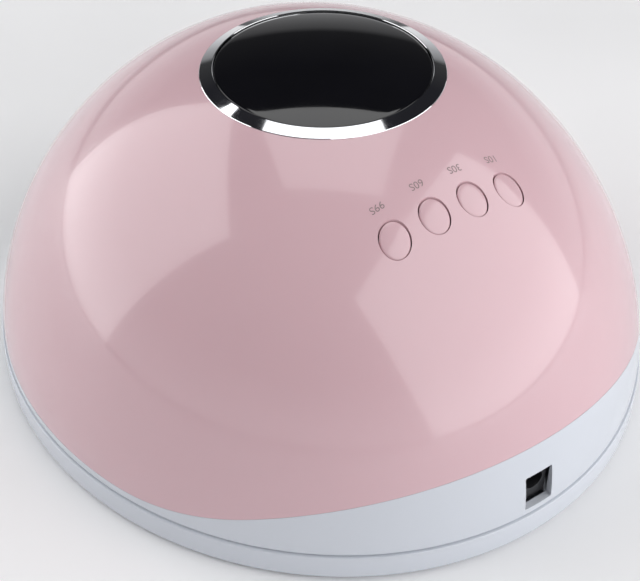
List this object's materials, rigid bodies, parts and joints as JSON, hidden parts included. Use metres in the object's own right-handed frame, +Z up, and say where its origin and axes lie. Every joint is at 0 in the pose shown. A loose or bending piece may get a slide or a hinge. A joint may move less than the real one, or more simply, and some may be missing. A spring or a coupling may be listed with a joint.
{
  "type": "uv led nail lamp",
  "caption": "Oval domed gel nail curing lamp with a hand opening, round display, flush timer buttons, DC inlet and a pull-off magnetic base tray.",
  "frame": {"origin": "under the middle of the lamp, on the surface it stands on", "axes": "+Z up, hand opening faces -Y, power inlet faces +Y, X is left to right"},
  "size_m": [0.206, 0.224, 0.1059],
  "materials": {
    "aluminium_board": "white solder mask on aluminium",
    "black_lens": "polished smoked acrylic",
    "can_metal": "sleeved can",
    "chrome": "mirror plated",
    "circuit_board": "solder mask",
    "dark_lens": "infrared filter epoxy",
    "dark_plastic": "fine texture",
    "led_lens": "clear domed epoxy",
    "magnet_metal": "nickel plated",
    "pin_metal": "tin plated",
    "pink_gloss": "glossy injection-moulded",
    "rubber": "soft matte",
    "screw_steel": "zinc plated",
    "white_liner": "glossy reflective liner",
    "white_plastic": "satin to gloss moulded",
    "wire_sleeve": "insulated lead"
  },
  "bodies": {
    "tray": {"base_tray": "white_plastic", "rubber_feet": "rubber", "tray_magnets": "magnet_metal"},
    "housing": {"capacitors": "can_metal", "casing_magnets": "magnet_metal", "casing_screws": "screw_steel", "control_chip": "dark_plastic", "dc_centre_pin": "pin_metal", "dc_jack_body": "dark_plastic", "digit_block": "dark_plastic", "display_bezel": "chrome", "display_board": "circuit_board", "display_lens": "black_lens", "display_screws": "screw_steel", "dome_shell": "pink_gloss", "entry_frame": "white_plastic", "infrared_sensors": "dark_lens", "jack_terminals": "pin_metal", "lead_headers": "white_plastic", "lower_casing": "white_plastic", "lower_led_beads": "led_lens", "lower_led_strip": "aluminium_board", "main_board": "circuit_board", "main_board_screws": "screw_steel", "power_inductor": "dark_plastic", "power_leads": "wire_sleeve", "power_transistors": "dark_plastic", "reflector_hood": "white_liner", "roof_led_beads": "led_lens", "roof_led_board": "aluminium_board", "sensor_board": "circuit_board", "switch_board": "circuit_board", "switch_board_screws": "screw_steel", "tact_switches": "dark_plastic", "upper_led_beads": "led_lens", "upper_led_strip": "aluminium_board"},
    "key_10s": {"button_10s": "pink_gloss", "switch_plunger_10s": "dark_plastic"},
    "key_30s": {"button_30s": "pink_gloss", "switch_plunger_30s": "dark_plastic"},
    "key_60s": {"button_60s": "pink_gloss", "switch_plunger_60s": "dark_plastic"},
    "key_99s": {"button_99s": "pink_gloss", "switch_plunger_99s": "dark_plastic"}
  },
  "joints": [
    {"name": "tray_release", "type": "slide", "parent": "tray", "child": "housing", "axis": [0, 0, 1], "range_m": [0, 0.08]},
    {"name": "press_10s", "type": "slide", "parent": "housing", "child": "key_10s", "axis": [0, 0, -1], "range_m": [0, 0.0005], "stiffness_N_per_m": 1000},
    {"name": "press_30s", "type": "slide", "parent": "housing", "child": "key_30s", "axis": [0, 0, -1], "range_m": [0, 0.0005], "stiffness_N_per_m": 1000},
    {"name": "press_60s", "type": "slide", "parent": "housing", "child": "key_60s", "axis": [0, 0, -1], "range_m": [0, 0.0005], "stiffness_N_per_m": 1000},
    {"name": "press_99s", "type": "slide", "parent": "housing", "child": "key_99s", "axis": [0, 0, -1], "range_m": [0, 0.0005], "stiffness_N_per_m": 1000}
  ]
}
